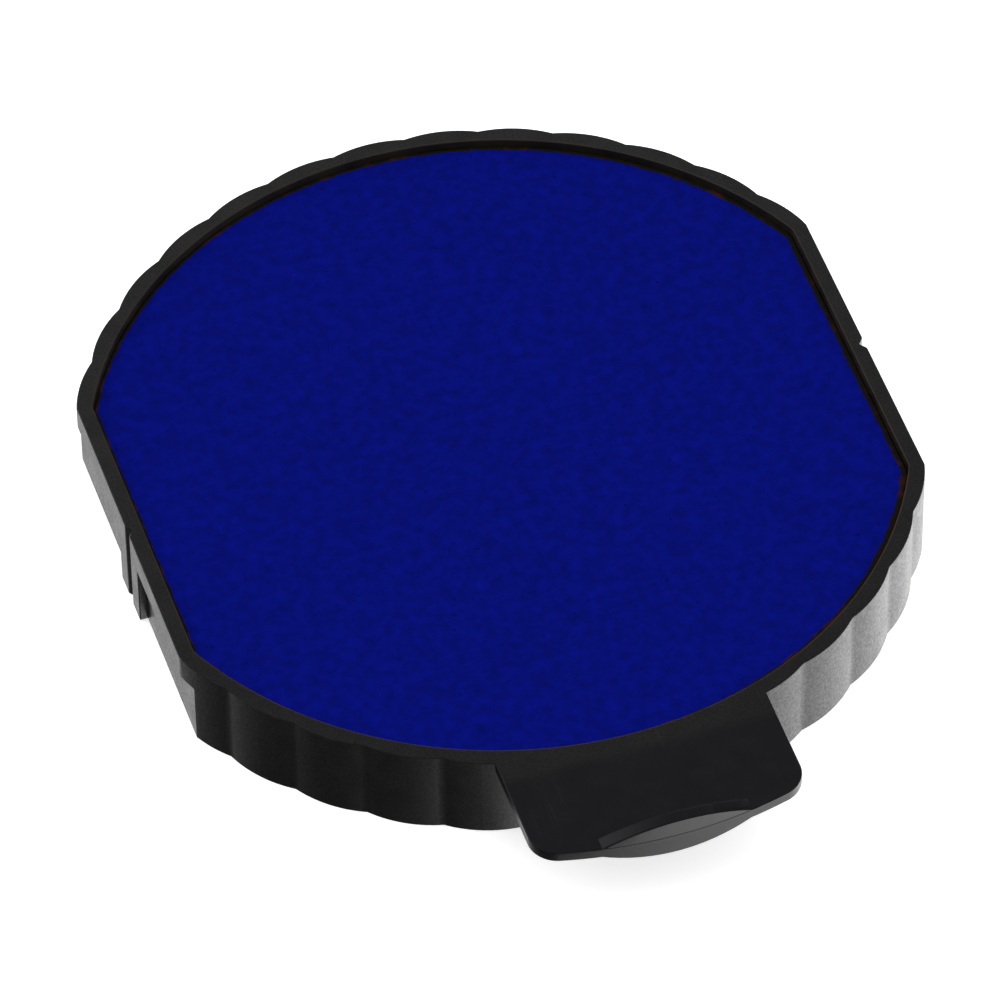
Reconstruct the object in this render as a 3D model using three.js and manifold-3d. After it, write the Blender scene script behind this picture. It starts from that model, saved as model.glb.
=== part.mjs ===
// A swap-out ink pad cartridge for a round self-inking stamp: a black moulded tray with a lobed
// round wall, two flat sides and a pull tab, a felt ink reservoir, and the inked transfer cloth.
//
// Millimetres, +Z up. The origin is the centre of the round body on the tray's underside. The pull
// tab points along -Y, and the two flat sides face -X and +X.

import * as THREE from "three";
import { mergeVertices } from "three/addons/utils/BufferGeometryUtils.js";
import Module from "manifold-3d";

const wasm = await Module();
wasm.setup();

// ---------------------------------------------------------------- driving dimensions

// Opening
const DIE_DIAMETER = 45; // the round die that the pad inks
const FLAT_MARGIN = 0.5; // the opening beyond the die, at each flat side
const ROUND_MARGIN = 2.8; // the opening beyond the die, along the round sides
const OPENING_CORNER = 0.8; // fillet where the flat part meets the round part

// Walls
const HEIGHT = 6.3; // underside to rim
const FLOOR = 1.0;
const FLAT_WALL = 1.0; // at the rim, along the flat sides
const ROUND_WALL = 0.85; // at the cusps, where the round wall is thinnest
const LOBE_RADIUS = 8; // each convex flute of the round wall
const LOBE_WIDTH = 4.74; // cusp to cusp

// Flat sides
const BAND_HEIGHT = 1.8; // the plain band below the rim
const PANEL_INSET = 0.5; // how far the panels below the band stand back
const PILASTER_HALF = 1.9; // half the width of the post in the middle
const GROOVE_HALF = 0.45; // half the mouth of the post's V groove
const GROOVE_DEPTH = 0.35;

// Pull tab
const TAB_HALF = 8.6; // half its width
const TAB_LENGTH = 7.55; // the round wall's cusps to the middle of the front edge
const TAB_FRONT_RADIUS = 28.2; // curve of the front edge
const TAB_CORNER = 1.9;
const TAB_PLATE = 0.8;
const GRIP_HALF = 4.7; // half the width of the finger grip
const GRIP_THICKNESS = 0.95;
const GRIP_RISE = 1.2; // above the plate, in the middle
const GRIP_DROP = 0.85; // below the plate, in the middle

// Ink pad
const PAD_GAP = 0.35; // between the pad and the walls
const PAD_RECESS = 0.5; // rim to the face of the cloth
const CLOTH = 0.6; // the cloth's thickness
const LAYER_GAP = 0.3; // the glue line under the felt, and under the cloth

// Facets
const LOBE_STEPS = 8;
const CORNER_STEPS = 5;
const SIDE_STEPS = 72;
const FRONT_STEPS = 20;
const GRIP_STEPS = 18;

// ---------------------------------------------------------------- worked out from them

const openingHalf = DIE_DIAMETER / 2 + FLAT_MARGIN;
const openingRadius = DIE_DIAMETER / 2 + ROUND_MARGIN;
const flatHalf = openingHalf + FLAT_WALL;
const cuspRadius = openingRadius + ROUND_WALL;
const tabReach = cuspRadius + TAB_LENGTH;
const frontCentre = TAB_FRONT_RADIUS - tabReach; // Y of the front edge's centre of curvature
const bandBottom = HEIGHT - BAND_HEIGHT;
const plateBottom = HEIGHT - TAB_PLATE;
const padTop = HEIGHT - PAD_RECESS;
const beyond = 2 * tabReach; // a cutter this long passes right through the tray

// ---------------------------------------------------------------- outlines and solids

// The points of an arc, without its last one, which starts whatever comes next.
function arc(x, y, radius, from, to, steps) {
  const points = [];
  for (let i = 0; i < steps; i++) {
    const angle = from + ((to - from) * i) / steps;
    points.push(new THREE.Vector2(x + radius * Math.cos(angle), y + radius * Math.sin(angle)));
  }
  return points;
}

// A circle with its left and right cut flat, and the four corners filleted.
function flattenedCircle(radius, half, corner) {
  const x = half - corner;
  const y = Math.sqrt((radius - corner) ** 2 - x ** 2);
  const turn = Math.atan2(y, x);
  return [
    ...arc(x, y, corner, 0, turn, CORNER_STEPS),
    ...arc(0, 0, radius, turn, Math.PI - turn, SIDE_STEPS),
    ...arc(-x, y, corner, Math.PI - turn, Math.PI, CORNER_STEPS),
    ...arc(-x, -y, corner, Math.PI, Math.PI + turn, CORNER_STEPS),
    ...arc(0, 0, radius, Math.PI + turn, 2 * Math.PI - turn, SIDE_STEPS),
    ...arc(x, -y, corner, 2 * Math.PI - turn, 2 * Math.PI, CORNER_STEPS),
  ];
}

// A closed solid from a three.js geometry, with only its merged positions.
function solid(geometry) {
  geometry.deleteAttribute("normal");
  geometry.deleteAttribute("uv");
  const merged = mergeVertices(geometry, 1e-5);
  const vertProperties = new Float32Array(merged.attributes.position.array);
  const triVerts = new Uint32Array(merged.index.array);
  return new wasm.Manifold(new wasm.Mesh({ numProp: 3, vertProperties, triVerts }));
}

// An outline in the XY plane, raised from one height to another.
function prism(points, bottom, top) {
  const shape = new THREE.Shape(points);
  const geometry = new THREE.ExtrudeGeometry(shape, { depth: top - bottom, bevelEnabled: false });
  return solid(geometry.translate(0, 0, bottom));
}

function box(low, high) {
  const size = high.map((value, axis) => value - low[axis]);
  const geometry = new THREE.BoxGeometry(...size);
  return solid(geometry.translate(...low.map((value, axis) => value + size[axis] / 2)));
}

function meshOf(name, shape, material) {
  const made = shape.getMesh();
  const geometry = new THREE.BufferGeometry();
  geometry.setAttribute("position", new THREE.BufferAttribute(made.vertProperties, 3));
  geometry.setIndex(new THREE.BufferAttribute(made.triVerts, 1));
  geometry.computeVertexNormals();
  const mesh = new THREE.Mesh(geometry, material);
  mesh.name = name;
  return mesh;
}

// ---------------------------------------------------------------- tray

// Convex flutes side by side along both round sides, a little past the flat sides' planes.
function lobedBody() {
  const halfChord = LOBE_WIDTH / 2;
  const pitch = 2 * Math.asin(halfChord / cuspRadius);
  const centre = cuspRadius * Math.cos(pitch / 2) - Math.sqrt(LOBE_RADIUS ** 2 - halfChord ** 2);
  const spread = Math.asin(halfChord / LOBE_RADIUS);
  const toFlat = Math.asin(flatHalf / cuspRadius);
  const each = Math.ceil(toFlat / pitch - 0.5);
  const points = [];
  for (const side of [1, 3]) {
    for (let lobe = -each; lobe <= each; lobe++) {
      const angle = (side * Math.PI) / 2 + lobe * pitch;
      const x = centre * Math.cos(angle);
      const y = centre * Math.sin(angle);
      points.push(...arc(x, y, LOBE_RADIUS, angle - spread, angle + spread, LOBE_STEPS));
    }
  }
  return prism(points, 0, HEIGHT);
}

// What is taken off the +X side to leave the band, the two inset panels and the grooved post.
function flatSideCutters() {
  const inset = flatHalf - PANEL_INSET;
  const mouth = GROOVE_HALF / GROOVE_DEPTH; // half the mouth for each unit of depth
  const groove = [
    new THREE.Vector2(flatHalf - GROOVE_DEPTH, 0),
    new THREE.Vector2(flatHalf + 1, -mouth * (GROOVE_DEPTH + 1)),
    new THREE.Vector2(flatHalf + 1, mouth * (GROOVE_DEPTH + 1)),
  ];
  return [
    box([flatHalf, -beyond, -1], [beyond, beyond, HEIGHT + 1]),
    box([inset, PILASTER_HALF, -1], [beyond, beyond, bandBottom]),
    box([inset, -beyond, -1], [beyond, -PILASTER_HALF, bandBottom]),
    prism(groove, -1, HEIGHT + 1),
  ];
}

// The tab's plate, from inside the round wall to its curved front edge.
function tabPlate() {
  const cornerX = TAB_HALF - TAB_CORNER;
  const cornerY = frontCentre - Math.sqrt((TAB_FRONT_RADIUS - TAB_CORNER) ** 2 - cornerX ** 2);
  const turn = Math.atan2(frontCentre - cornerY, cornerX);
  const root = -Math.sqrt(openingRadius ** 2 - TAB_HALF ** 2); // where its sides meet the opening
  const points = [
    new THREE.Vector2(TAB_HALF, root),
    new THREE.Vector2(-TAB_HALF, root),
    ...arc(-cornerX, cornerY, TAB_CORNER, Math.PI, Math.PI + turn, CORNER_STEPS),
    ...arc(0, frontCentre, TAB_FRONT_RADIUS, Math.PI + turn, 2 * Math.PI - turn, FRONT_STEPS),
    ...arc(cornerX, cornerY, TAB_CORNER, 2 * Math.PI - turn, 2 * Math.PI, CORNER_STEPS),
    new THREE.Vector2(TAB_HALF, cornerY),
  ];
  return prism(points, plateBottom, HEIGHT);
}

// The lens that the grip shows from the front: one arc above the plate and one below it.
function gripLens() {
  const radiusOf = (rise) => (GRIP_HALF ** 2 + rise ** 2) / (2 * rise);
  const above = radiusOf(GRIP_RISE);
  const below = radiusOf(GRIP_DROP);
  const up = Math.asin(GRIP_HALF / above);
  const down = Math.asin(GRIP_HALF / below);
  const quarter = Math.PI / 2;
  const topY = HEIGHT + GRIP_RISE - above;
  const bottomY = plateBottom - GRIP_DROP + below;
  const points = [
    ...arc(0, topY, above, quarter - up, quarter + up, GRIP_STEPS),
    new THREE.Vector2(-GRIP_HALF, HEIGHT),
    ...arc(0, bottomY, below, -quarter - down, -quarter + down, GRIP_STEPS),
    new THREE.Vector2(GRIP_HALF, plateBottom),
  ];
  return prism(points, -beyond, beyond).rotate([90, 0, 0]);
}

// An upright lip along the middle of the tab's front edge.
function grip() {
  const inner = TAB_FRONT_RADIUS - GRIP_THICKNESS;
  const spread = Math.asin(TAB_HALF / TAB_FRONT_RADIUS); // past the lens at both ends
  const middle = -Math.PI / 2;
  const points = [
    ...arc(0, frontCentre, TAB_FRONT_RADIUS, middle - spread, middle + spread, FRONT_STEPS),
    ...arc(0, frontCentre, inner, middle + spread, middle - spread, FRONT_STEPS),
  ];
  return prism(points, 0, 2 * HEIGHT).intersect(gripLens());
}

function trayShape() {
  let tray = lobedBody();
  for (const cutter of flatSideCutters()) {
    tray = tray.subtract(cutter).subtract(cutter.mirror([1, 0, 0]));
  }
  tray = tray.add(tabPlate()).add(grip());
  const opening = flattenedCircle(openingRadius, openingHalf, OPENING_CORNER);
  return tray.subtract(prism(opening, FLOOR, HEIGHT + 1));
}

// ---------------------------------------------------------------- ink pad

// One layer of the pad, clear of the opening's walls all round.
function padLayer(bottom, top) {
  const radius = openingRadius - PAD_GAP;
  const half = openingHalf - PAD_GAP;
  return prism(flattenedCircle(radius, half, OPENING_CORNER), bottom, top);
}

// ---------------------------------------------------------------- materials and assembly

const plastic = new THREE.MeshStandardMaterial({ color: 0x1c1c1b, roughness: 0.42, metalness: 0 });
const felt = new THREE.MeshStandardMaterial({ color: 0x070c5a, roughness: 0.95, metalness: 0 });
const cloth = new THREE.MeshStandardMaterial({ color: 0x060e70, roughness: 0.85, metalness: 0 });

const clothBottom = padTop - CLOTH;
const cartridge = new THREE.Group();
cartridge.add(meshOf("tray", trayShape(), plastic));
cartridge.add(meshOf("ink_reservoir", padLayer(FLOOR + LAYER_GAP, clothBottom - LAYER_GAP), felt));
cartridge.add(meshOf("transfer_cloth", padLayer(clothBottom, padTop), cloth));

export default cartridge;
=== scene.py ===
"""An ink pad cartridge for a round self-inking stamp: a black moulded tray with a pull tab, a felt
reservoir, and the inked cloth that the stamp's die touches.

Metres, +Z up. The origin is the centre of the round body on the tray's underside. The pull tab
points along -Y, and the two flat sides face -X and +X.
"""

import math

import bmesh
import bpy
from mathutils import Matrix, Vector


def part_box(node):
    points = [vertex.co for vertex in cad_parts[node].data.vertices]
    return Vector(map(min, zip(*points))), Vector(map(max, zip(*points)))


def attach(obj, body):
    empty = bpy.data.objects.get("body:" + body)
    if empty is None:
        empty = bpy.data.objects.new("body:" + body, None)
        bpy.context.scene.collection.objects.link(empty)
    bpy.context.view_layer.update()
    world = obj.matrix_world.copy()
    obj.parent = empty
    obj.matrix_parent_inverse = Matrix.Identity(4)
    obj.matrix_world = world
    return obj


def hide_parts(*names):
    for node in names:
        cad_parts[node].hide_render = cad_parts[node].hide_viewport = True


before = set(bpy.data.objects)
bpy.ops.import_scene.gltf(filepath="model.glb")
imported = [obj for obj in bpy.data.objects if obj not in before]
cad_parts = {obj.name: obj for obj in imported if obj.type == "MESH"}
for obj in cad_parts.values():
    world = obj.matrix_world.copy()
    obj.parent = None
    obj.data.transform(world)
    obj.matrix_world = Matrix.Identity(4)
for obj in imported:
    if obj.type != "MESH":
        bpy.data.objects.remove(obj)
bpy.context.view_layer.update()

bl_info = {
    "name": "Stamp Ink Pad Cartridge",
    "version": (1, 0, 0),
    "blender": (4, 5, 0),
    "location": "View3D > Sidebar > Ink pad",
    "description": "Builds a stamp's ink pad cartridge, piece by piece",
    "category": "Add Mesh",
}

TRAY_LOW, TRAY_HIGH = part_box("tray")
FELT_LOW, FELT_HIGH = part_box("ink_reservoir")
CLOTH_LOW, CLOTH_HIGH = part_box("transfer_cloth")

WELD = 1e-6  # vertices nearer than this are one
MEET = 1e-5  # ends of two arcs nearer than this are one
FLAT_ANGLE = math.radians(0.2)  # faces that meet flatter than this are one
SOFT_ANGLE = math.radians(23)  # flatter edges than this are shaded smooth; a cusp is just sharper
SHARP_ANGLE = math.radians(35)  # a moulded edge sharper than this is rounded
CORNER_ANGLE = math.radians(60)  # the grip's back edge is sharper than this
FABRIC_ANGLE = math.radians(50)  # on felt and cloth, flatter edges than this are shaded smooth
LOBE_CIRCLE = 144  # vertices in the circle that a flute is cut from
ROUND_STEPS = 240  # vertices round the opening and the tab's front
LENS_STEPS = 160
CORNER_STEPS = 6
PAD_STEPS = 240
PAD_ROWS = 50  # rows of faces across a pad layer, each way
RIM_SEGMENTS = 2  # faces across the rim's chamfer
EDGE_SEGMENTS = 4  # faces across a rounded moulded edge
SOFT_SEGMENTS = 5  # faces across the grip's, the felt's and the cloth's rounder edges
ORDER_FROM = (0.0113, 0.0071, 0.0037)  # off every plane of symmetry; parts are numbered from here
LOOK_AT = Vector((0.0000845, 0.000292, 0))  # the camera looks at this point


def length(name, description, default):
    """A size that the user may change."""
    return bpy.props.FloatProperty(
        name=name, description=description, default=default, min=0, unit="LENGTH", precision=5
    )


def colour(name, description, default):
    """A colour that the user may change."""
    return bpy.props.FloatVectorProperty(
        name=name, description=description, default=default, min=0, max=1, subtype="COLOR"
    )


# ---------------------------------------------------------------- settings


class TraySizes(bpy.types.PropertyGroup):
    """Sizes of the moulded tray."""

    height: length("Height", "Underside to rim", 0.0063)
    floor: length("Floor", "Thickness of the tray's floor", 0.001)
    opening_radius: length("Opening radius", "The round part of the opening", 0.0253)
    opening_half: length("Opening half width", "Centre to the opening's flat side", 0.023)
    opening_corner: length("Opening corner", "Fillet between its flat and round parts", 0.0008)
    flat_half: length("Half width", "Centre to an outer flat side", TRAY_HIGH.x)
    cusp_radius: length("Cusp radius", "Centre to the valleys between the flutes", 0.02615)
    lobe_radius: length("Flute radius", "Curve of each convex flute", 0.008)
    lobe_width: length("Flute width", "Valley to valley", 0.00474)
    band: length("Band", "The plain band below the rim, on the flat sides", 0.0018)
    inset: length("Panel inset", "How far the panels below the band stand back", 0.0005)
    post_half: length("Post half width", "Half the post between the panels", 0.0019)
    groove_half: length("Groove half width", "Half the mouth of the V groove", 0.00045)
    groove_depth: length("Groove depth", "Depth of the V groove in the post", 0.00035)
    rim_edge: length("Inner rim edge", "Chamfer round the opening", 0.00010)
    outer_edge: length("Outer edges", "Rounding of the other moulded edges", 0.00008)


class TabSizes(bpy.types.PropertyGroup):
    """Sizes of the pull tab and its finger grip."""

    half: length("Half width", "Half the tab's width", 0.0086)
    reach: length("Reach", "Centre of the tray to the tab's front", -TRAY_LOW.y)
    front_radius: length("Front radius", "Curve of the front edge", 0.0282)
    corner: length("Corner", "Rounding of the front corners", 0.0019)
    plate: length("Plate", "Thickness of the tab", 0.0008)
    grip_half: length("Grip half width", "Half the finger grip's width", 0.0047)
    grip_thickness: length("Grip thickness", "Front to back", 0.00095)
    grip_rise: length("Grip rise", "Above the tab, in the middle", TRAY_HIGH.z - 0.0063)
    grip_drop: length("Grip drop", "Below the tab, in the middle", 0.00085)
    witness: length("Witness line", "Width of the fine line across the grip's face", 0.00005)
    grip_edge: length("Grip edge", "Rounding of the grip's upper back edge", 0.00017)
    draft: bpy.props.FloatProperty(
        name="Draft",
        description="How far the front leans back, above and below the witness line",
        default=math.radians(3),
        min=0,
        unit="ROTATION",
    )


class PadSizes(bpy.types.PropertyGroup):
    """Sizes of the felt and of the cloth on it."""

    radius: length("Radius", "The round sides", CLOTH_HIGH.y)
    half: length("Half width", "Centre to a flat side", CLOTH_HIGH.x)
    corner: length("Corner", "Fillet between the flat and round sides", 0.0008)
    cloth_edge: length("Cloth edge", "Rounding of the cloth's upper edge", 0.00010)
    felt_edge: length("Felt edge", "Rounding of the felt's upper edge", 0.00015)
    spread: length("Cloth spread", "How far the cloth has spread towards the wall", 0.0003)
    felt_spread: length("Felt spread", "How far the felt has spread towards the wall", 0.0002)
    fringe: length("Fringe", "Width of the cloth's stiff, inked edge", 0.00029)
    fringe_shift: length("Fringe shift", "How much wider the fringe is on the right", 0.0001)
    waviness: length("Waviness", "How uneven the cloth's face is", 0.00005)


class Finishes(bpy.types.PropertyGroup):
    """Colours of the plastic, the ink and the dried ink on the wall, with painted light in the lighter
    back plastic and in the chamfer's colour.
    """

    plastic: colour("Plastic", "Black moulded plastic", (0.0040, 0.0039, 0.0038))
    polished: colour("Polished plastic", "The smoother face of the pull tab", (0.0027, 0.0026, 0.0042))
    # Painted light: the plastic colour used towards the back is lighter, standing in for the brighter
    # light there.
    painted_back_light: colour("Plastic painted lighter at the back", "The plastic towards the back", (0.0088, 0.0086, 0.0083))
    ink: colour("Ink", "The inked cloth", (0.0016, 0.0046, 0.187))
    deep_ink: colour("Deep ink", "Where the cloth has soaked up more", (0.0012, 0.0034, 0.097))
    rubbed: colour("Rubbed plastic", "Fine rub marks on the plastic", (0.03, 0.03, 0.03))
    ink_fleck: colour("Ink fleck", "Small dark flecks in the cloth", (0.0008, 0.0016, 0.05))
    film: colour("Ink film", "Thin film of ink on the opening's wall", (0.016, 0.0145, 0.0085))
    # Partly painted highlight: the brown chamfer colour stands in part for the light the rim's edge
    # catches.
    dried_ink_and_highlight: colour("Dried ink and painted highlight", "Brown film and painted highlight on the opening's edge", (0.034, 0.018, 0.009))
    dried_edge: colour("Dried edge", "The cloth's stiff, dried edge", (0.0078, 0.0064, 0.0046))
    rust: colour("Red-brown ink", "Spots in the cloth's dried edge", (0.026, 0.009, 0.006))


# ---------------------------------------------------------------- modelling helpers


def only(piece):
    """Select one object alone, in object mode, and make it the active one."""
    if bpy.context.mode != "OBJECT":
        bpy.ops.object.mode_set(mode="OBJECT")
    bpy.ops.object.select_all(action="DESELECT")
    piece.select_set(True)
    bpy.context.view_layer.objects.active = piece


def number_parts():
    """Select all of the open mesh, and number its parts by place, so that each run is the same."""
    bpy.context.scene.cursor.location = ORDER_FROM
    bpy.ops.mesh.select_mode(type="VERT")
    bpy.ops.mesh.select_all(action="SELECT")
    bpy.ops.mesh.sort_elements(type="CURSOR_DISTANCE", elements={"VERT", "EDGE", "FACE"})


def edit(piece):
    """Open one object in edit mode with all of it selected."""
    only(piece)
    bpy.ops.object.mode_set(mode="EDIT")
    number_parts()


def close():
    """Leave edit mode."""
    number_parts()
    bpy.ops.object.mode_set(mode="OBJECT")


def fresh():
    """Deselect everything, before a primitive is added."""
    if bpy.context.mode != "OBJECT":
        bpy.ops.object.mode_set(mode="OBJECT")
    bpy.ops.object.select_all(action="DESELECT")


def choose(piece, kind, test):
    """In edit mode, select the vertices, edges or faces that pass the test, and nothing else."""
    bpy.ops.mesh.select_mode(type=kind)
    bpy.ops.mesh.select_all(action="DESELECT")
    shape = bmesh.from_edit_mesh(piece.data)
    parts = {"VERT": shape.verts, "EDGE": shape.edges, "FACE": shape.faces}[kind]
    found = [part for part in parts if test(part)]
    if not found:
        raise RuntimeError(f"{piece.name}: no {kind.lower()} passes the test")
    for part in found:
        part.select_set(True)
    shape.select_flush_mode()
    bmesh.update_edit_mesh(piece.data)


def middle(edge):
    """The middle of an edge."""
    return (edge.verts[0].co + edge.verts[1].co) / 2


def upright(edge):
    """Whether an edge stands along Z."""
    along = edge.verts[1].co - edge.verts[0].co
    return abs(along.z) > 0.99 * along.length


def slice_off(point, direction, fill=True):
    """Cut the open mesh by a plane, and throw away what lies on the direction's side."""
    bpy.ops.mesh.select_all(action="SELECT")
    bpy.ops.mesh.bisect(
        plane_co=point,
        plane_no=direction,
        use_fill=fill,
        clear_outer=True,
        threshold=WELD / 10,
    )


def cylinder(name, radius, low, high, centre=(0, 0), vertices=ROUND_STEPS, axis="Z"):
    """A closed cylinder along Z, or along Y, from low to high on that axis."""
    fresh()
    along = (low + high) / 2
    place = (*centre, along) if axis == "Z" else (centre[0], along, centre[1])
    turn = (0, 0, 0) if axis == "Z" else (math.pi / 2, 0, 0)
    bpy.ops.mesh.primitive_cylinder_add(
        vertices=vertices, radius=radius, depth=high - low, location=place, rotation=turn
    )
    made = bpy.context.active_object
    made.name = name
    bpy.ops.object.transform_apply(location=True, rotation=True, scale=True)
    return made


def arc(name, radius, centre, start, end, vertices):
    """An open arc in the XY plane, shorter than half a turn, cut from a circle."""
    fresh()
    bpy.ops.mesh.primitive_circle_add(
        vertices=vertices, radius=radius, fill_type="NOTHING", location=(*centre, 0)
    )
    made = bpy.context.active_object
    made.name = name
    bpy.ops.object.transform_apply(location=True, rotation=True, scale=True)
    edit(made)
    slice_off((*centre, 0), (math.sin(start), -math.cos(start), 0), fill=False)
    slice_off((*centre, 0), (-math.sin(end), math.cos(end), 0), fill=False)
    close()
    return made


def raise_outline(piece, height):
    """Fill a closed outline and raise it into a solid."""
    edit(piece)
    bpy.ops.mesh.edge_face_add()
    bpy.ops.mesh.extrude_region_move(TRANSFORM_OT_translate={"value": (0, 0, height)})
    bpy.ops.mesh.select_all(action="SELECT")
    bpy.ops.mesh.normals_make_consistent(inside=False)
    close()


def block(name, low, high):
    """A box between two corners."""
    fresh()
    low, high = Vector(low), Vector(high)
    bpy.ops.mesh.primitive_cube_add(size=1, location=(low + high) / 2, scale=high - low)
    made = bpy.context.active_object
    made.name = name
    bpy.ops.object.transform_apply(location=True, rotation=True, scale=True)
    return made


def combine(piece, other, operation):
    """Join, cut or intersect one solid with another, which is used up."""
    only(piece)
    modifier = piece.modifiers.new(operation.lower(), "BOOLEAN")
    modifier.operation = operation
    modifier.solver = "EXACT"
    modifier.object = other
    bpy.ops.object.modifier_apply(modifier=modifier.name)
    bpy.data.objects.remove(other, do_unlink=True)
    edit(piece)
    bpy.ops.mesh.remove_doubles(threshold=WELD)
    bpy.ops.mesh.dissolve_limited(angle_limit=FLAT_ANGLE)
    close()


def flattened(name, radius, half, corner, low, high, steps):
    """A cylinder with its left and right sliced flat, and its four upright corners filleted."""
    made = cylinder(name, radius, low, high, vertices=steps)
    edit(made)
    for side in (-1, 1):
        slice_off((side * half, 0, 0), (side, 0, 0))
    bpy.ops.mesh.select_all(action="SELECT")
    bpy.ops.mesh.remove_doubles(threshold=WELD)
    bpy.ops.mesh.normals_make_consistent(inside=False)
    turn = math.acos(half / radius)
    choose(
        made,
        "EDGE",
        lambda e: upright(e) and abs(abs(middle(e).x) - half) < WELD,
    )
    bpy.ops.mesh.bevel(
        offset=corner * math.tan(turn / 2), segments=CORNER_STEPS, affect="EDGES"
    )
    close()
    return made


def shade(piece):
    """Smooth the curved faces, and keep the flat ones flat."""
    only(piece)
    bpy.ops.object.shade_smooth_by_angle(angle=SOFT_ANGLE)
    modifier = piece.modifiers.new("flat faces", "WEIGHTED_NORMAL")
    modifier.keep_sharp = True
    bpy.ops.object.modifier_apply(modifier=modifier.name)


def deliver(piece, name, material, node):
    """Name a finished piece, paint it, and put it in the CAD node's place."""
    piece.name = piece.data.name = name
    piece.data.materials.clear()
    piece.data.materials.append(material)
    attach(piece, "root")
    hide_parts(node)


# ---------------------------------------------------------------- the tray


def flute_pitch(sizes):
    """The turn from one flute to the next, and how many stand on each side of the middle one."""
    pitch = 2 * math.asin(sizes.lobe_width / 2 / sizes.cusp_radius)
    return pitch, math.ceil(math.asin(sizes.flat_half / sizes.cusp_radius) / pitch - 0.5)


def lobed_body(sizes):
    """Convex flutes side by side along the front and the back, raised to the tray's height."""
    pitch, each = flute_pitch(sizes)
    half = sizes.lobe_width / 2
    centre = sizes.cusp_radius * math.cos(pitch / 2) - math.sqrt(sizes.lobe_radius**2 - half**2)
    spread = math.asin(half / sizes.lobe_radius)
    first = -math.pi / 2 - each * pitch
    place = (centre * math.cos(first), centre * math.sin(first))
    body = arc("lobed body", sizes.lobe_radius, place, first - spread, first + spread, LOBE_CIRCLE)

    # One flute becomes a row, turning from +X towards +Y, and the row is copied to the other side.
    edit(body)
    middle_point, up = (0, 0, 0), (0, 0, -1)
    turn = 2 * each * pitch
    bpy.ops.mesh.spin(steps=2 * each, dupli=True, angle=turn, center=middle_point, axis=up)
    bpy.ops.mesh.select_all(action="SELECT")
    bpy.ops.mesh.spin(steps=1, dupli=True, angle=math.pi, center=middle_point, axis=up)
    bpy.ops.mesh.select_all(action="SELECT")
    bpy.ops.mesh.remove_doubles(threshold=WELD)
    for side in (-1, 1):
        choose(body, "VERT", lambda v: len(v.link_edges) == 1 and side * v.co.x > 0)
        bpy.ops.mesh.edge_face_add()
    raise_outline(body, sizes.height)
    edit(body)
    for side in (-1, 1):
        slice_off((side * sizes.flat_half, 0, 0), (side, 0, 0))
    close()
    return body


def shape_flat_sides(body, sizes):
    """Cut the two inset panels and the post's V groove into both flat sides."""
    beyond = 2 * sizes.cusp_radius
    band_bottom = sizes.height - sizes.band
    stand_back = sizes.flat_half - sizes.inset
    for side in (-1, 1):
        for end in (-1, 1):
            xs = sorted((side * stand_back, side * beyond))
            ys = sorted((end * sizes.post_half, end * beyond))
            panel = block(
                "panel cutter", (xs[0], ys[0], -sizes.floor), (xs[1], ys[1], band_bottom)
            )
            combine(body, panel, "DIFFERENCE")
        # A square bar turned on its edge, then stretched until its corner has the groove's angle.
        fresh()
        bpy.ops.mesh.primitive_cylinder_add(
            vertices=4,
            radius=2 * sizes.groove_depth,
            depth=4 * sizes.height,
            location=(side * (sizes.flat_half + sizes.groove_depth), 0, 0),
            scale=(1, sizes.groove_half / sizes.groove_depth, 1),
        )
        bar = bpy.context.active_object
        bpy.ops.object.transform_apply(location=True, rotation=True, scale=True)
        combine(body, bar, "DIFFERENCE")


def tab_outline(tray, tab, centre, inside):
    """A tall prism with the tab's straight sides, rounded corners and curved front edge."""
    corner_x = tab.half - tab.corner
    corner_y = centre - math.sqrt((tab.front_radius - tab.corner) ** 2 - corner_x**2)
    turn = math.atan2(corner_x, centre - corner_y)
    down = -math.pi / 2
    made = arc("outline", tab.front_radius, (0, centre), down - turn, down + turn, ROUND_STEPS)
    left = arc("left", tab.corner, (-corner_x, corner_y), math.pi, 1.5 * math.pi - turn, LOBE_CIRCLE)
    right = arc("right", tab.corner, (corner_x, corner_y), down + turn, 0, LOBE_CIRCLE)
    only(made)
    left.select_set(True)
    right.select_set(True)
    bpy.ops.object.join()
    edit(made)
    bpy.ops.mesh.remove_doubles(threshold=MEET)
    choose(made, "VERT", lambda v: len(v.link_edges) == 1)
    bpy.ops.mesh.extrude_vertices_move(
        TRANSFORM_OT_translate={"value": (0, inside - corner_y, 0)}
    )
    choose(made, "VERT", lambda v: len(v.link_edges) == 1)
    bpy.ops.mesh.edge_face_add()
    raise_outline(made, 2 * tray.height)

    # The mould parts at the tray's height: above and below that the front leans back.
    edit(made)
    bpy.ops.mesh.bisect(plane_co=(0, 0, tray.height), plane_no=(0, 0, 1), threshold=WELD / 10)
    choose(made, "VERT", lambda v: abs(v.co.z - tray.height) > WELD)
    lean = tray.height * math.tan(tab.draft)
    bpy.ops.transform.translate(value=(0, lean, 0))
    close()
    return made


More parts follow.
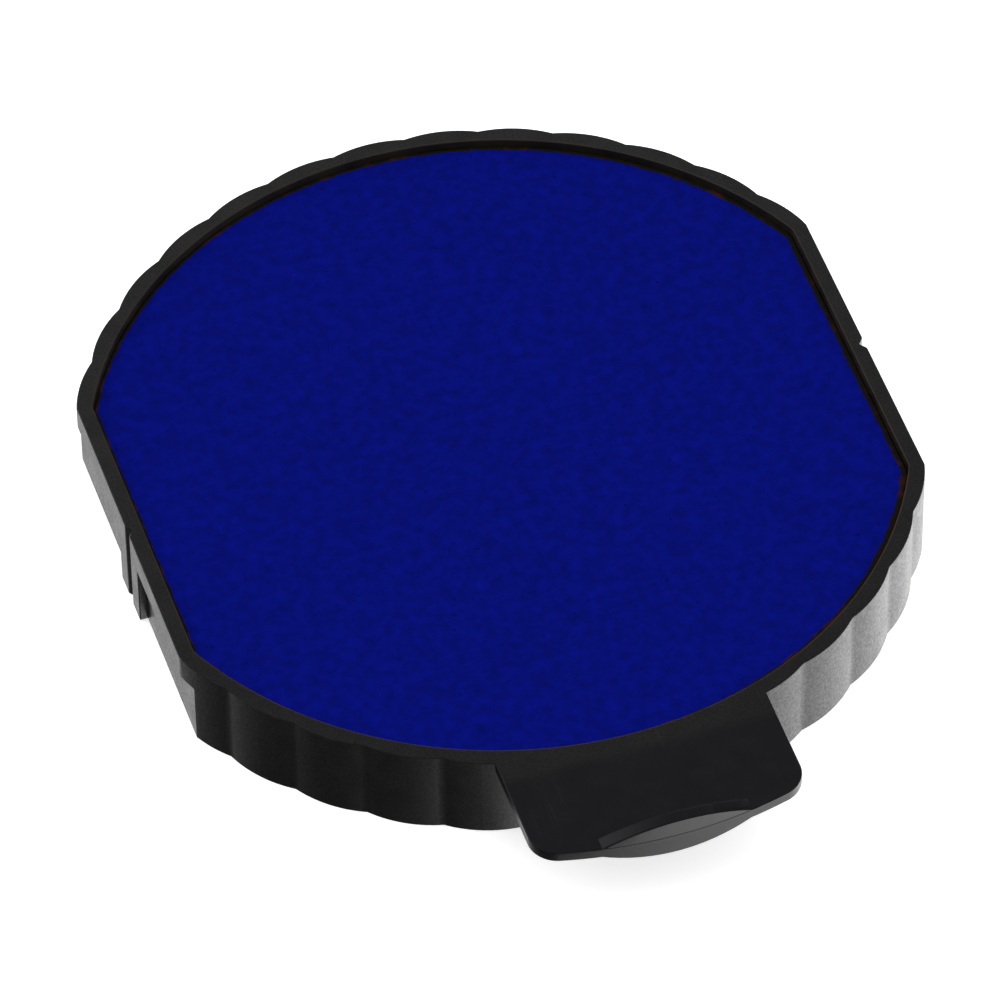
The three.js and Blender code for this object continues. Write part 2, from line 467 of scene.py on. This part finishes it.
def finger_grip(tray, tab, centre, inside):
    """An upright lens across the tab's front, its upper back edge rounded, with no front face yet."""
    rise_radius = (tab.grip_half**2 + tab.grip_rise**2) / (2 * tab.grip_rise)
    drop_radius = (tab.grip_half**2 + tab.grip_drop**2) / (2 * tab.grip_drop)
    rise_z = tray.height + tab.grip_rise - rise_radius
    drop_z = tray.height - tab.plate - tab.grip_drop + drop_radius
    far = -2 * tab.reach
    grip = cylinder("grip", rise_radius, far, inside, (0, rise_z), LENS_STEPS, axis="Y")
    under = cylinder("under", drop_radius, far, inside, (0, drop_z), LENS_STEPS, axis="Y")
    combine(grip, under, "INTERSECT")
    inner = tab.front_radius - tab.grip_thickness
    back = cylinder("back", inner, -tray.height, 3 * tray.height, (0, centre))
    combine(grip, back, "DIFFERENCE")
    edit(grip)
    choose(
        grip,
        "EDGE",
        lambda e: e.is_convex
        and e.calc_face_angle() > CORNER_ANGLE
        and middle(e).z > tray.height - tab.plate / 2
        and middle(e).y > -1.5 * tab.reach,
    )
    bpy.ops.mesh.bevel(
        offset=tab.grip_edge, segments=SOFT_SEGMENTS, affect="EDGES", clamp_overlap=False
    )
    close()
    return grip


def witness_cutter(tray, tab, centre):
    """What cuts the shallow line across the grip's face, where the mould's halves met."""
    half, end = tab.witness / 2, tab.grip_half - 3 * tray.outer_edge
    low, high = tray.height - half, tray.height + half
    cutter = block("witness", (-end, -2 * tab.reach, low), (end, -tab.reach / 2, high))
    keep = tab.front_radius - half
    inner = cylinder("keep", keep, 0, 2 * tray.height, (0, centre), 2 * ROUND_STEPS)
    combine(cutter, inner, "DIFFERENCE")
    return cutter


def pull_tab(tray, tab):
    """The tab's plate and its finger grip, cut by one outline, reaching into the opening."""
    centre = tab.front_radius - tab.reach
    inside = tab.half - tray.opening_radius
    wide, bottom = 2 * tab.half, tray.height - tab.plate
    slab = block("pull tab", (-wide, -2 * tab.reach, bottom), (wide, tab.half, tray.height))
    combine(slab, finger_grip(tray, tab, centre, inside), "UNION")
    combine(slab, tab_outline(tray, tab, centre, inside), "INTERSECT")
    combine(slab, witness_cutter(tray, tab, centre), "DIFFERENCE")
    return slab


def cut_sectors(piece, sizes):
    """Cut the wall's faces at the middle of each flute, so that none runs right round."""
    pitch, each = flute_pitch(sizes)
    edit(piece)
    for index in range(-each, each + 1):
        across = (math.cos(index * pitch), math.sin(index * pitch), 0)
        bpy.ops.mesh.select_all(action="SELECT")
        bpy.ops.mesh.bisect(plane_co=(0, 0, 0), plane_no=across, threshold=MEET)
    close()


def round_edges(piece, tray, tab):
    """Chamfer the opening's rim, and round the other sharp edges, but not the witness line's."""

    def in_opening(point, beyond=WELD):
        return (
            abs(point.x) < tray.opening_half + beyond
            and math.hypot(point.x, point.y) < tray.opening_radius + beyond
        )

    def at_rim(edge):
        a, b = edge.verts
        level = all(abs(v.co.z - tray.height) < WELD for v in (a, b))
        return level and in_opening(middle(edge))

    def on_witness_line(point):
        return (
            abs(point.z - tray.height) < tab.witness
            and abs(point.x) < tab.grip_half - 2 * tray.outer_edge
            and point.y < tab.grip_thickness - tab.reach
        )

    def outer(edge):
        if len(edge.link_faces) != 2 or not edge.is_convex:
            return False
        if edge.calc_face_angle() < SHARP_ANGLE or on_witness_line(middle(edge)):
            return False
        return not in_opening(middle(edge), 2 * tray.rim_edge)

    edit(piece)
    choose(piece, "EDGE", at_rim)
    bpy.ops.mesh.bevel(
        offset=tray.rim_edge, segments=RIM_SEGMENTS, affect="EDGES", clamp_overlap=False
    )
    choose(piece, "EDGE", outer)
    bpy.ops.mesh.bevel(
        offset=tray.outer_edge, segments=EDGE_SEGMENTS, affect="EDGES", clamp_overlap=False
    )
    close()


class INKPAD_OT_tray(bpy.types.Operator):
    """Mould the tray, with its fluted wall, flat sides, pull tab and finger grip"""

    bl_idname = "inkpad.tray"
    bl_label = "Tray"

    def execute(self, context):
        tray, tab = context.scene.inkpad_tray, context.scene.inkpad_tab
        body = lobed_body(tray)
        shape_flat_sides(body, tray)
        combine(body, pull_tab(tray, tab), "UNION")
        opening = flattened(
            "opening",
            tray.opening_radius,
            tray.opening_half,
            tray.opening_corner,
            tray.floor,
            2 * tray.height,
            ROUND_STEPS,
        )
        combine(body, opening, "DIFFERENCE")
        cut_sectors(body, tray)
        round_edges(body, tray, tab)
        shade(body)
        deliver(
            body, "moulded_tray", black_plastic(context.scene), "tray"
        )
        return {"FINISHED"}


# ---------------------------------------------------------------- the pad


def pad_layer(name, pad, low, high, edge):
    """A soft slab with a rounded upper edge, cut into faces fine enough to be uneven."""
    made = flattened(name, pad.radius, pad.half, pad.corner, low, high, PAD_STEPS)
    edit(made)
    choose(
        made,
        "EDGE",
        lambda e: all(abs(v.co.z - high) < WELD for v in e.verts)
        and any(abs(f.normal.z) < 0.5 for f in e.link_faces),
    )
    bpy.ops.mesh.bevel(
        offset=edge, segments=SOFT_SEGMENTS, affect="EDGES", clamp_overlap=False
    )
    for axis, reach in ((Vector((1, 0, 0)), pad.half), (Vector((0, 1, 0)), pad.radius)):
        for row in range(1, PAD_ROWS):
            bpy.ops.mesh.select_all(action="SELECT")
            place = axis * reach * (2 * row / PAD_ROWS - 1)
            bpy.ops.mesh.bisect(plane_co=place, plane_no=axis, threshold=WELD / 10)
    bpy.ops.mesh.select_all(action="SELECT")
    bpy.ops.mesh.remove_doubles(threshold=WELD)
    bpy.ops.mesh.normals_make_consistent(inside=False)
    close()
    return made


def spread_out(piece, pad, distance):
    """Press a layer outwards a little, so that it comes close to the wall."""
    edit(piece)
    wider, longer = 1 + distance / pad.half, 1 + distance / pad.radius
    bpy.ops.transform.resize(value=(wider, longer, 1), center_override=(0, 0, 0))
    close()


def unevenness(piece, name, size, strength):
    """Push a soft piece's surface in and out by clouds of the given size."""
    clouds = bpy.data.textures.new(name, "CLOUDS")
    clouds.noise_scale = size
    clouds.noise_depth = 2
    only(piece)
    modifier = piece.modifiers.new(name, "DISPLACE")
    modifier.texture = clouds
    modifier.texture_coords = "LOCAL"
    modifier.strength = strength
    modifier.mid_level = 0.5
    bpy.ops.object.modifier_apply(modifier=modifier.name)


class INKPAD_OT_reservoir(bpy.types.Operator):
    """Cut the thick felt that holds the ink"""

    bl_idname = "inkpad.reservoir"
    bl_label = "Felt reservoir"

    def execute(self, context):
        pad = context.scene.inkpad_pad
        felt = pad_layer("felt", pad, FELT_LOW.z, FELT_HIGH.z, pad.felt_edge)
        spread_out(felt, pad, pad.felt_spread)
        unevenness(felt, "felt lumps", 0.002, 2 * pad.waviness)
        only(felt)
        bpy.ops.object.shade_smooth_by_angle(angle=FABRIC_ANGLE)
        deliver(felt, "felt_reservoir", ink_felt(context.scene), "ink_reservoir")
        return {"FINISHED"}


class INKPAD_OT_cloth(bpy.types.Operator):
    """Lay the inked cloth over the felt"""

    bl_idname = "inkpad.cloth"
    bl_label = "Inked cloth"

    def execute(self, context):
        pad = context.scene.inkpad_pad
        cloth = pad_layer("cloth", pad, CLOTH_LOW.z, CLOTH_HIGH.z, pad.cloth_edge)
        spread_out(cloth, pad, pad.spread)
        unevenness(cloth, "cloth waves", 0.004, pad.waviness)
        only(cloth)
        bpy.ops.object.shade_smooth_by_angle(angle=FABRIC_ANGLE)
        deliver(
            cloth, "inked_cloth", inked_cloth(context.scene), "transfer_cloth"
        )
        return {"FINISHED"}


# ---------------------------------------------------------------- materials


class Graph:
    """A node tree being wired, with short calls for the nodes used here."""

    def __init__(self, tree):
        self.tree = tree

    def node(self, kind, values=(), **settings):
        """Add a node, set its fields, and set or link its inputs."""
        made = self.tree.nodes.new(kind)
        for key, value in settings.items():
            setattr(made, key, value)
        for key, value in dict(values).items():
            self.put(made.inputs[key], value)
        return made

    def put(self, socket, value):
        """Link a socket to another node's output, or give it a plain value."""
        if isinstance(value, bpy.types.NodeSocket):
            self.tree.links.new(value, socket)
        else:
            socket.default_value = value

    def math(self, operation, a, b=0.0, c=0.0):
        """A Math node's result."""
        return self.node("ShaderNodeMath", {0: a, 1: b, 2: c}, operation=operation).outputs[0]

    def between(self, value, low, high, out_low=0.0, out_high=1.0):
        """A value eased from one range to another."""
        values = {"Value": value, "From Min": low, "From Max": high}
        values.update({"To Min": out_low, "To Max": out_high})
        made = self.node("ShaderNodeMapRange", values, interpolation_type="SMOOTHSTEP")
        return made.outputs["Result"]

    def blend(self, share, a, b):
        """A colour between two."""
        made = self.node("ShaderNodeMix", data_type="RGBA")
        self.put(made.inputs[0], share)
        self.put(made.inputs[6], a)
        self.put(made.inputs[7], b)
        return made.outputs[2]

    def noise(self, vector, scale, detail=2.0, rough=0.5, stretch=None):
        """Noise, in turns to the metre, drawn out along an axis if a stretch is given."""
        if stretch is not None:
            vector = self.node(
                "ShaderNodeMapping", {"Vector": vector, "Scale": stretch}
            ).outputs["Vector"]
        made = self.node(
            "ShaderNodeTexNoise",
            {"Vector": vector, "Scale": scale, "Detail": detail, "Roughness": rough},
        )
        return made.outputs["Fac"]


def new_group(name, inputs, outputs):
    """A shader node group with named sockets, and its graph, input node and output node."""
    tree = bpy.data.node_groups.new(name, "ShaderNodeTree")
    for socket, kind, value in inputs:
        made = tree.interface.new_socket(socket, in_out="INPUT", socket_type=kind)
        if value is not None:
            made.default_value = value
    for socket, kind in outputs:
        tree.interface.new_socket(socket, in_out="OUTPUT", socket_type=kind)
    graph = Graph(tree)
    return graph, graph.node("NodeGroupInput"), graph.node("NodeGroupOutput")


FLOAT, VECTOR, COLOUR = "NodeSocketFloat", "NodeSocketVector", "NodeSocketColor"


def grain_group():
    """Fine and coarse grain of a moulded or fibrous surface."""
    name = "surface_grain"
    if name in bpy.data.node_groups:
        return bpy.data.node_groups[name]
    graph, given, out = new_group(
        name,
        [("Vector", VECTOR, None), ("Fine", FLOAT, 9000.0), ("Coarse", FLOAT, 900.0)],
        [("Height", FLOAT), ("Patches", FLOAT)],
    )
    fine = graph.noise(given.outputs["Vector"], given.outputs["Fine"], 3.0, 0.6)
    coarse = graph.noise(given.outputs["Vector"], given.outputs["Coarse"], 2.0, 0.5)
    height = graph.math("ADD", graph.math("MULTIPLY", fine, 0.7), graph.math("MULTIPLY", coarse, 0.3))
    graph.put(out.inputs["Height"], height)
    graph.put(out.inputs["Patches"], coarse)
    return graph.tree


def rub_group():
    """Short fine rub marks, as a mask."""
    name = "rub_marks"
    if name in bpy.data.node_groups:
        return bpy.data.node_groups[name]
    graph, given, out = new_group(
        name, [("Vector", VECTOR, None), ("Amount", FLOAT, 0.5)], [("Mask", FLOAT)]
    )
    marks = None
    for turn, scale in ((0.5, 2600.0), (-0.9, 2100.0), (1.9, 3000.0)):
        turned = graph.node(
            "ShaderNodeMapping",
            {"Vector": given.outputs["Vector"], "Rotation": (0, 0, turn), "Scale": (1, 0.04, 1)},
        )
        streaks = graph.noise(turned.outputs["Vector"], scale, 1.0, 0.4)
        line = graph.between(streaks, 0.66, 0.74)
        marks = line if marks is None else graph.math("MAXIMUM", marks, line)
    where = graph.between(graph.noise(given.outputs["Vector"], 180.0, 2.0), 0.45, 0.7)
    mask = graph.math("MULTIPLY", graph.math("MULTIPLY", marks, where), given.outputs["Amount"])
    graph.put(out.inputs["Mask"], mask)
    return graph.tree


def new_material(name):
    """An empty material, its graph, its Principled shader and the piece's own coordinates."""
    material = bpy.data.materials.new(name)
    material.use_nodes = True
    material.node_tree.nodes.clear()
    graph = Graph(material.node_tree)
    shader = graph.node("ShaderNodeBsdfPrincipled")
    output = graph.node("ShaderNodeOutputMaterial")
    graph.put(output.inputs["Surface"], shader.outputs["BSDF"])
    place = graph.node("ShaderNodeTexCoord").outputs["Object"]
    return material, graph, shader, place


def opening_reach(graph, place, half, radius):
    """How near a point is to the side of a flattened circle: 1 is on it, less is inside."""
    axes = graph.node("ShaderNodeSeparateXYZ", {"Vector": place}).outputs
    across = graph.math("DIVIDE", graph.math("ABSOLUTE", axes["X"]), half)
    flat = graph.node("ShaderNodeVectorMath", {0: place, 1: (1, 1, 0)}, operation="MULTIPLY")
    out = graph.node(
        "ShaderNodeVectorMath", {0: flat.outputs["Vector"]}, operation="LENGTH"
    ).outputs["Value"]
    return graph.math("MAXIMUM", across, graph.math("DIVIDE", out, radius))


def black_plastic(scene):
    """Black moulded plastic with a fine spark texture, painted lighter towards the back, and a bronze
    film of ink at the rim that is partly a painted highlight.
    """
    tray, finishes = scene.inkpad_tray, scene.inkpad_finishes
    material, graph, shader, place = new_material("black moulded plastic")
    grain = graph.node("ShaderNodeGroup", node_tree=grain_group())
    graph.put(grain.inputs["Vector"], place)
    graph.put(grain.inputs["Fine"], 8000.0)
    graph.put(grain.inputs["Coarse"], 700.0)
    rubs = graph.node("ShaderNodeGroup", node_tree=rub_group())
    graph.put(rubs.inputs["Vector"], place)
    graph.put(rubs.inputs["Amount"], 0.35)

    # A film of dried ink covers the opening's wall and its chamfer. On the chamfer its brown colour is
    # partly a painted highlight, stronger towards the front.
    axes = graph.node("ShaderNodeSeparateXYZ", {"Vector": place}).outputs
    reach = opening_reach(graph, place, tray.opening_half, tray.opening_radius)
    edge = 1 + tray.rim_edge / tray.opening_half
    inside = graph.between(reach, edge + 0.0004, edge - 0.001)
    above_floor = graph.between(axes["Z"], 0.4 * tray.floor, 0.8 * tray.floor)
    inside = graph.math("MULTIPLY", inside, above_floor)
    film = graph.math(
        "MULTIPLY",
        inside,
        graph.between(graph.noise(place, 350.0, 3.0, 0.6), 0.3, 0.62, 0.35, 1.0),
    )
    # Painted highlight, in part: the chamfer's brown colour is strongest towards the front, where the
    # rim's edge catches the light.
    chamfer = graph.math(
        "MULTIPLY", film, graph.between(axes["Z"], tray.height - 0.00025, tray.height - 0.0001)
    )
    chamfer = graph.math("MULTIPLY", chamfer, graph.between(axes["Y"], 0.004, -0.014, 0.3, 1.0))

    patchy = graph.between(grain.outputs["Patches"], 0.3, 0.7, 0.85, 1.15)
    tab_share = graph.between(axes["Y"], -tray.cusp_radius, -tray.cusp_radius - 0.001)
    face = graph.between(axes["Z"], tray.height - 0.0003, tray.height - 0.0001)
    smooth = graph.math("MULTIPLY", tab_share, face)
    # Painted light: the plastic is coloured lighter towards the back, standing in for the brighter
    # light there.
    back_light_share = graph.between(axes["Y"], -0.022, 0.026)
    moulded = graph.blend(back_light_share, (*finishes.plastic, 1), (*finishes.painted_back_light, 1))
    moulded = graph.blend(smooth, moulded, (*finishes.polished, 1))
    tone = graph.node("ShaderNodeVectorMath", {0: moulded}, operation="SCALE")
    graph.put(tone.inputs["Scale"], patchy)
    worn = graph.blend(
        graph.math("MULTIPLY", rubs.outputs["Mask"], 0.25), tone.outputs[0], (*finishes.rubbed, 1)
    )
    dirty = graph.blend(film, worn, (*finishes.film, 1))
    colour_out = graph.blend(chamfer, dirty, (*finishes.dried_ink_and_highlight, 1))
    graph.put(shader.inputs["Base Color"], colour_out)
    graph.put(shader.inputs["Metallic"], graph.math("MULTIPLY", chamfer, 0.12))
    rough = graph.between(grain.outputs["Patches"], 0.25, 0.75, 0.34, 0.40)
    rough = graph.math("SUBTRACT", rough, graph.math("MULTIPLY", smooth, 0.12))
    rough = graph.math("ADD", rough, graph.math("MULTIPLY", rubs.outputs["Mask"], 0.12))
    wall = graph.math("SUBTRACT", film, chamfer)
    rough = graph.math("ADD", rough, graph.math("MULTIPLY", wall, 0.3))
    graph.put(shader.inputs["Roughness"], rough)
    shader.inputs["IOR"].default_value = 1.5

    # The spark texture's tiny crests shine a little more than its hollows.
    crests = graph.between(graph.noise(place, 6500.0, 2.0, 0.6), 0.38, 0.66, 0.0, 0.46)
    dull = graph.math("SUBTRACT", 1.0, graph.math("MAXIMUM", film, tab_share))
    graph.put(shader.inputs["Coat Weight"], graph.math("MULTIPLY", crests, dull))
    shader.inputs["Coat Roughness"].default_value = 0.3
    bump = graph.node("ShaderNodeBump", {"Height": grain.outputs["Height"], "Strength": 0.35})
    bump.inputs["Distance"].default_value = 0.00002
    graph.put(shader.inputs["Normal"], bump.outputs["Normal"])
    return material


def ink_felt(scene):
    """Pressed felt, soaked blue."""
    finishes = scene.inkpad_finishes
    material, graph, shader, place = new_material("soaked felt")
    grain = graph.node("ShaderNodeGroup", node_tree=grain_group())
    graph.put(grain.inputs["Vector"], place)
    graph.put(grain.inputs["Fine"], 5000.0)
    graph.put(grain.inputs["Coarse"], 600.0)
    share = graph.between(grain.outputs["Height"], 0.35, 0.65)
    graph.put(
        shader.inputs["Base Color"],
        graph.blend(share, (*finishes.deep_ink, 1), (*finishes.ink, 1)),
    )
    graph.put(shader.inputs["Roughness"], graph.between(share, 0, 1, 0.95, 0.85))
    shader.inputs["Specular IOR Level"].default_value = 0.1
    bump = graph.node("ShaderNodeBump", {"Height": grain.outputs["Height"], "Strength": 0.8})
    bump.inputs["Distance"].default_value = 0.0001
    graph.put(shader.inputs["Normal"], bump.outputs["Normal"])
    return material


def inked_cloth(scene):
    """Fine close-woven cloth, wet with blue ink."""
    pad, finishes = scene.inkpad_pad, scene.inkpad_finishes
    material, graph, shader, place = new_material("inked cloth")
    grain = graph.node("ShaderNodeGroup", node_tree=grain_group())
    graph.put(grain.inputs["Vector"], place)
    graph.put(grain.inputs["Fine"], 1350.0)
    graph.put(grain.inputs["Coarse"], 700.0)
    mottle = graph.math(
        "SUBTRACT",
        grain.outputs["Height"],
        graph.math("MULTIPLY", grain.outputs["Patches"], 0.18),
    )
    broad = graph.noise(place, 110.0, 3.0, 0.55)
    mottle = graph.math("ADD", mottle, graph.math("MULTIPLY", broad, 0.07))
    share = graph.node(
        "ShaderNodeMapRange", {"Value": mottle, "From Min": 0.25, "From Max": 0.645}
    ).outputs["Result"]
    colour_out = graph.blend(share, (*finishes.deep_ink, 1), (*finishes.ink, 1))
    specks = graph.between(graph.noise(place, 2600.0, 1.0, 0.3), 0.70, 0.80)
    colour_out = graph.blend(
        graph.math("MULTIPLY", specks, 0.55), colour_out, (*finishes.ink_fleck, 1)
    )

    # The edge has dried red-brown, unevenly, and a little wider on the right.
    shifted = graph.node(
        "ShaderNodeVectorMath", {0: place, 1: (pad.fringe_shift, 0, 0)}, operation="ADD"
    ).outputs["Vector"]
    half, radius = pad.half + pad.spread, pad.radius + pad.spread
    reach = opening_reach(graph, shifted, half, radius)
    start = 1 - pad.fringe / half
    ragged = graph.between(graph.noise(place, 1500.0, 2.0, 0.6), 0.3, 0.7, -0.002, 0.002)
    fringe = graph.between(graph.math("ADD", reach, ragged), start - 0.002, start + 0.003)
    rusty = graph.between(graph.noise(place, 700.0, 2.0, 0.6), 0.50, 0.70)
    dried = graph.blend(rusty, (*finishes.dried_edge, 1), (*finishes.rust, 1))
    colour_out = graph.blend(fringe, colour_out, dried)
    graph.put(shader.inputs["Base Color"], colour_out)
    graph.put(shader.inputs["Roughness"], graph.between(share, 0, 1, 0.95, 0.85))
    shader.inputs["Specular IOR Level"].default_value = 0.02
    threads = None
    for stretch in ((1, 0.25, 1), (0.25, 1, 1)):
        run = graph.noise(place, 3600.0, 1.0, 0.5, stretch=stretch)
        threads = run if threads is None else graph.math("ADD", threads, run)
    bump = graph.node("ShaderNodeBump", {"Height": threads, "Strength": 0.5})
    bump.inputs["Distance"].default_value = 0.00004
    graph.put(shader.inputs["Normal"], bump.outputs["Normal"])
    return material


# ---------------------------------------------------------------- stage


class StageSettings(bpy.types.PropertyGroup):
    """Where the camera stands, and how bright the studio is."""

    azimuth: bpy.props.FloatProperty(
        name="Azimuth",
        description="Round the object; 0 looks along +Y",
        default=math.radians(-17.8985),
        unit="ROTATION",
    )
    elevation: bpy.props.FloatProperty(
        name="Elevation",
        description="Above the horizon",
        default=math.radians(48.3388),
        unit="ROTATION",
    )
    roll: bpy.props.FloatProperty(
        name="Roll",
        description="Turn about the line of sight",
        default=math.radians(-0.8616),
        unit="ROTATION",
    )
    distance: length("Distance", "Camera to the point it looks at", 0.56486)
    lens: bpy.props.FloatProperty(
        name="Lens", description="Focal length on a 36 mm sensor", default=326.893, unit="CAMERA"
    )
    overhead: bpy.props.FloatProperty(
        name="Overhead light",
        description="Strength of the two soft lights that make the floor white",
        default=2.0,
        min=0,
    )
    glow: bpy.props.FloatProperty(
        name="Floor's glow",
        description="Light from under the white floor, which thins the shadow",
        default=0.62,
        min=0,
    )


# Brightness round the horizon as polished plastic sees it: turn from -Y towards +X, in degrees.
AROUND = (
    (-180, 1.00),
    (-162, 1.08),
    (-140, 0.52),
    (-120, 0.24),
    (-104, 0.125),
    (-86, 0.060),
    (-72, 0.042),
    (-58, 0.046),
    (-44, 0.065),
    (-30, 0.12),
    (-16, 0.22),
    (-6, 0.39),
    (-1, 0.62),
    (6, 1.20),
    (12, 1.58),
    (18, 1.76),
    (28, 1.86),
    (41, 1.84),
    (60, 2.12),
    (90, 2.20),
    (110, 2.20),
    (130, 1.93),
    (150, 1.28),
    (180, 1.00),
)
BRIGHTEST = 2.2
SOFT_BOX = Vector((-0.60, 0.55, 0.58)).normalized()  # towards the raised soft box


def studio_world(scene):
    """A dim room, brighter low down on the right and behind, with a soft box high on the left."""
    world = bpy.data.worlds.new("studio")
    scene.world = world
    world.use_nodes = True
    world.node_tree.nodes.clear()
    graph = Graph(world.node_tree)
    place = graph.node("ShaderNodeTexCoord").outputs["Generated"]
    axes = graph.node("ShaderNodeSeparateXYZ", {"Vector": place}).outputs
    turn = graph.math("ARCTAN2", axes["X"], graph.math("MULTIPLY", axes["Y"], -1.0))
    share = graph.math("MULTIPLY_ADD", turn, 0.5 / math.pi, 0.5)
    ramp = graph.node("ShaderNodeValToRGB", {"Fac": share})
    stops = ramp.color_ramp.elements
    while len(stops) > 1:
        stops.remove(stops[-1])
    for index, (degrees, level) in enumerate(AROUND):
        stop = stops[0] if index == 0 else stops.new((degrees + 180) / 360)
        stop.position = (degrees + 180) / 360
        stop.color = (level / BRIGHTEST, level / BRIGHTEST, level / BRIGHTEST, 1)
    low = graph.math("MULTIPLY", ramp.outputs["Color"], BRIGHTEST)
    low = graph.math("MULTIPLY", low, graph.between(axes["Z"], -0.92, -0.58, 0.60, 1.40))
    towards = graph.node(
        "ShaderNodeVectorMath", {0: place, 1: tuple(SOFT_BOX)}, operation="DOT_PRODUCT"
    ).outputs["Value"]
    box = graph.math("POWER", graph.math("MAXIMUM", towards, 0.0), 8.0)
    high = graph.math("MULTIPLY_ADD", box, 0.52, graph.between(towards, -0.2, 0.6, 0.10, 0.17))
    lift = graph.between(axes["Z"], 0.12, -0.10)
    level = graph.math(
        "ADD",
        graph.math("MULTIPLY", low, lift),
        graph.math("MULTIPLY", high, graph.math("SUBTRACT", 1.0, lift)),
    )
    white = (1, 1, 1, 1)
    room = graph.node("ShaderNodeBackground", {"Color": white, "Strength": level})
    wall = graph.node("ShaderNodeBackground", {"Color": white, "Strength": 1.0})
    seen = graph.node("ShaderNodeLightPath").outputs["Is Camera Ray"]
    mixed = graph.node(
        "ShaderNodeMixShader", {0: seen, 1: room.outputs[0], 2: wall.outputs[0]}
    )
    output = graph.node("ShaderNodeOutputWorld")
    graph.put(output.inputs["Surface"], mixed.outputs[0])


def studio_floor(settings):
    """A white light table, which only its upper side shows."""
    fresh()
    bpy.ops.mesh.primitive_plane_add(size=20, location=(0, 0, 0))
    floor = bpy.context.active_object
    floor.name = "studio_floor"
    material = bpy.data.materials.new("white floor")
    material.use_nodes = True
    material.node_tree.nodes.clear()
    graph = Graph(material.node_tree)
    diffuse = graph.node("ShaderNodeBsdfDiffuse", {"Color": (0.92, 0.92, 0.92, 1)})
    glow = graph.node("ShaderNodeEmission", {"Color": (1, 1, 1, 1), "Strength": settings.glow})
    lit = graph.node("ShaderNodeAddShader", {0: diffuse.outputs[0], 1: glow.outputs[0]})
    clear = graph.node("ShaderNodeBsdfTransparent")
    below = graph.node("ShaderNodeNewGeometry").outputs["Backfacing"]
    mixed = graph.node(
        "ShaderNodeMixShader", {0: below, 1: lit.outputs[0], 2: clear.outputs[0]}
    )
    output = graph.node("ShaderNodeOutputMaterial")
    graph.put(output.inputs["Surface"], mixed.outputs[0])
    floor.data.materials.append(material)
    floor.visible_glossy = False


def studio_light(name, towards, strength, width):
    """A very soft light from far away, which leaves no highlight of its own."""
    lamp = bpy.data.lights.new(name, "SUN")
    lamp.energy = strength
    lamp.angle = math.radians(width)
    holder = bpy.data.objects.new(name, lamp)
    bpy.context.scene.collection.objects.link(holder)
    holder.rotation_mode = "QUATERNION"
    holder.rotation_quaternion = Vector(towards).to_track_quat("Z", "Y")
    holder.visible_glossy = False


def studio_camera(settings):
    """The camera, looking down at the middle of the tray from the front and a little to the left."""
    az, el, roll = settings.azimuth, settings.elevation, settings.roll
    back = Vector((math.sin(az) * math.cos(el), -math.cos(az) * math.cos(el), math.sin(el)))
    right = Vector((0, 0, 1)).cross(back).normalized()
    up = back.cross(right)
    turned_right = math.cos(roll) * right + math.sin(roll) * up
    turned_up = -math.sin(roll) * right + math.cos(roll) * up
    camera = bpy.data.cameras.new("studio camera")
    camera.sensor_width = 36
    camera.lens = settings.lens
    camera.clip_start, camera.clip_end = 0.02, 50
    holder = bpy.data.objects.new("studio camera", camera)
    bpy.context.scene.collection.objects.link(holder)
    axes = Matrix((turned_right, turned_up, back)).transposed()
    holder.matrix_world = Matrix.Translation(LOOK_AT + back * settings.distance) @ axes.to_4x4()
    bpy.context.scene.camera = holder


class INKPAD_OT_studio(bpy.types.Operator):
    """Set up the white floor, the soft lights and the camera"""

    bl_idname = "inkpad.studio"
    bl_label = "Studio"

    def execute(self, context):
        settings = context.scene.inkpad_stage
        studio_world(context.scene)
        studio_floor(settings)
        studio_light("soft light right", (0.55, -0.25, 0.8), settings.overhead, 100)
        studio_light("soft light back", (-0.45, 0.6, 0.8), settings.overhead, 100)
        studio_camera(settings)
        context.scene.view_settings.view_transform = "Standard"
        return {"FINISHED"}


# ---------------------------------------------------------------- panel, register and main


class INKPAD_PT_build(bpy.types.Panel):
    """The cartridge's pieces, in the order they are made"""

    bl_idname = "INKPAD_PT_build"
    bl_label = "Ink pad cartridge"
    bl_space_type = "VIEW_3D"
    bl_region_type = "UI"
    bl_category = "Ink pad"

    def draw(self, context):
        layout = self.layout
        for operator in STEPS:
            layout.operator(operator.bl_idname)
        for settings, _ in SETTINGS:
            box = layout.box()
            held = getattr(context.scene, settings)
            for field in held.bl_rna.properties:
                if field.identifier not in {"rna_type", "name"}:
                    box.prop(held, field.identifier)


SETTINGS = (
    ("inkpad_tray", TraySizes),
    ("inkpad_tab", TabSizes),
    ("inkpad_pad", PadSizes),
    ("inkpad_finishes", Finishes),
    ("inkpad_stage", StageSettings),
)
STEPS = (INKPAD_OT_studio, INKPAD_OT_tray, INKPAD_OT_reservoir, INKPAD_OT_cloth)


def register():
    """Add the settings, the operators and the panel to Blender."""
    for name, group in SETTINGS:
        bpy.utils.register_class(group)
        setattr(bpy.types.Scene, name, bpy.props.PointerProperty(type=group))
    for step in STEPS:
        bpy.utils.register_class(step)
    bpy.utils.register_class(INKPAD_PT_build)


def unregister():
    """Take them all out again."""
    bpy.utils.unregister_class(INKPAD_PT_build)
    for step in reversed(STEPS):
        bpy.utils.unregister_class(step)
    for name, group in reversed(SETTINGS):
        delattr(bpy.types.Scene, name)
        bpy.utils.unregister_class(group)


def main():
    """Build the whole scene."""
    register()
    bpy.ops.inkpad.studio()
    bpy.ops.inkpad.tray()
    bpy.ops.inkpad.reservoir()
    bpy.ops.inkpad.cloth()
    fresh()


if __name__ == "__main__":
    main()
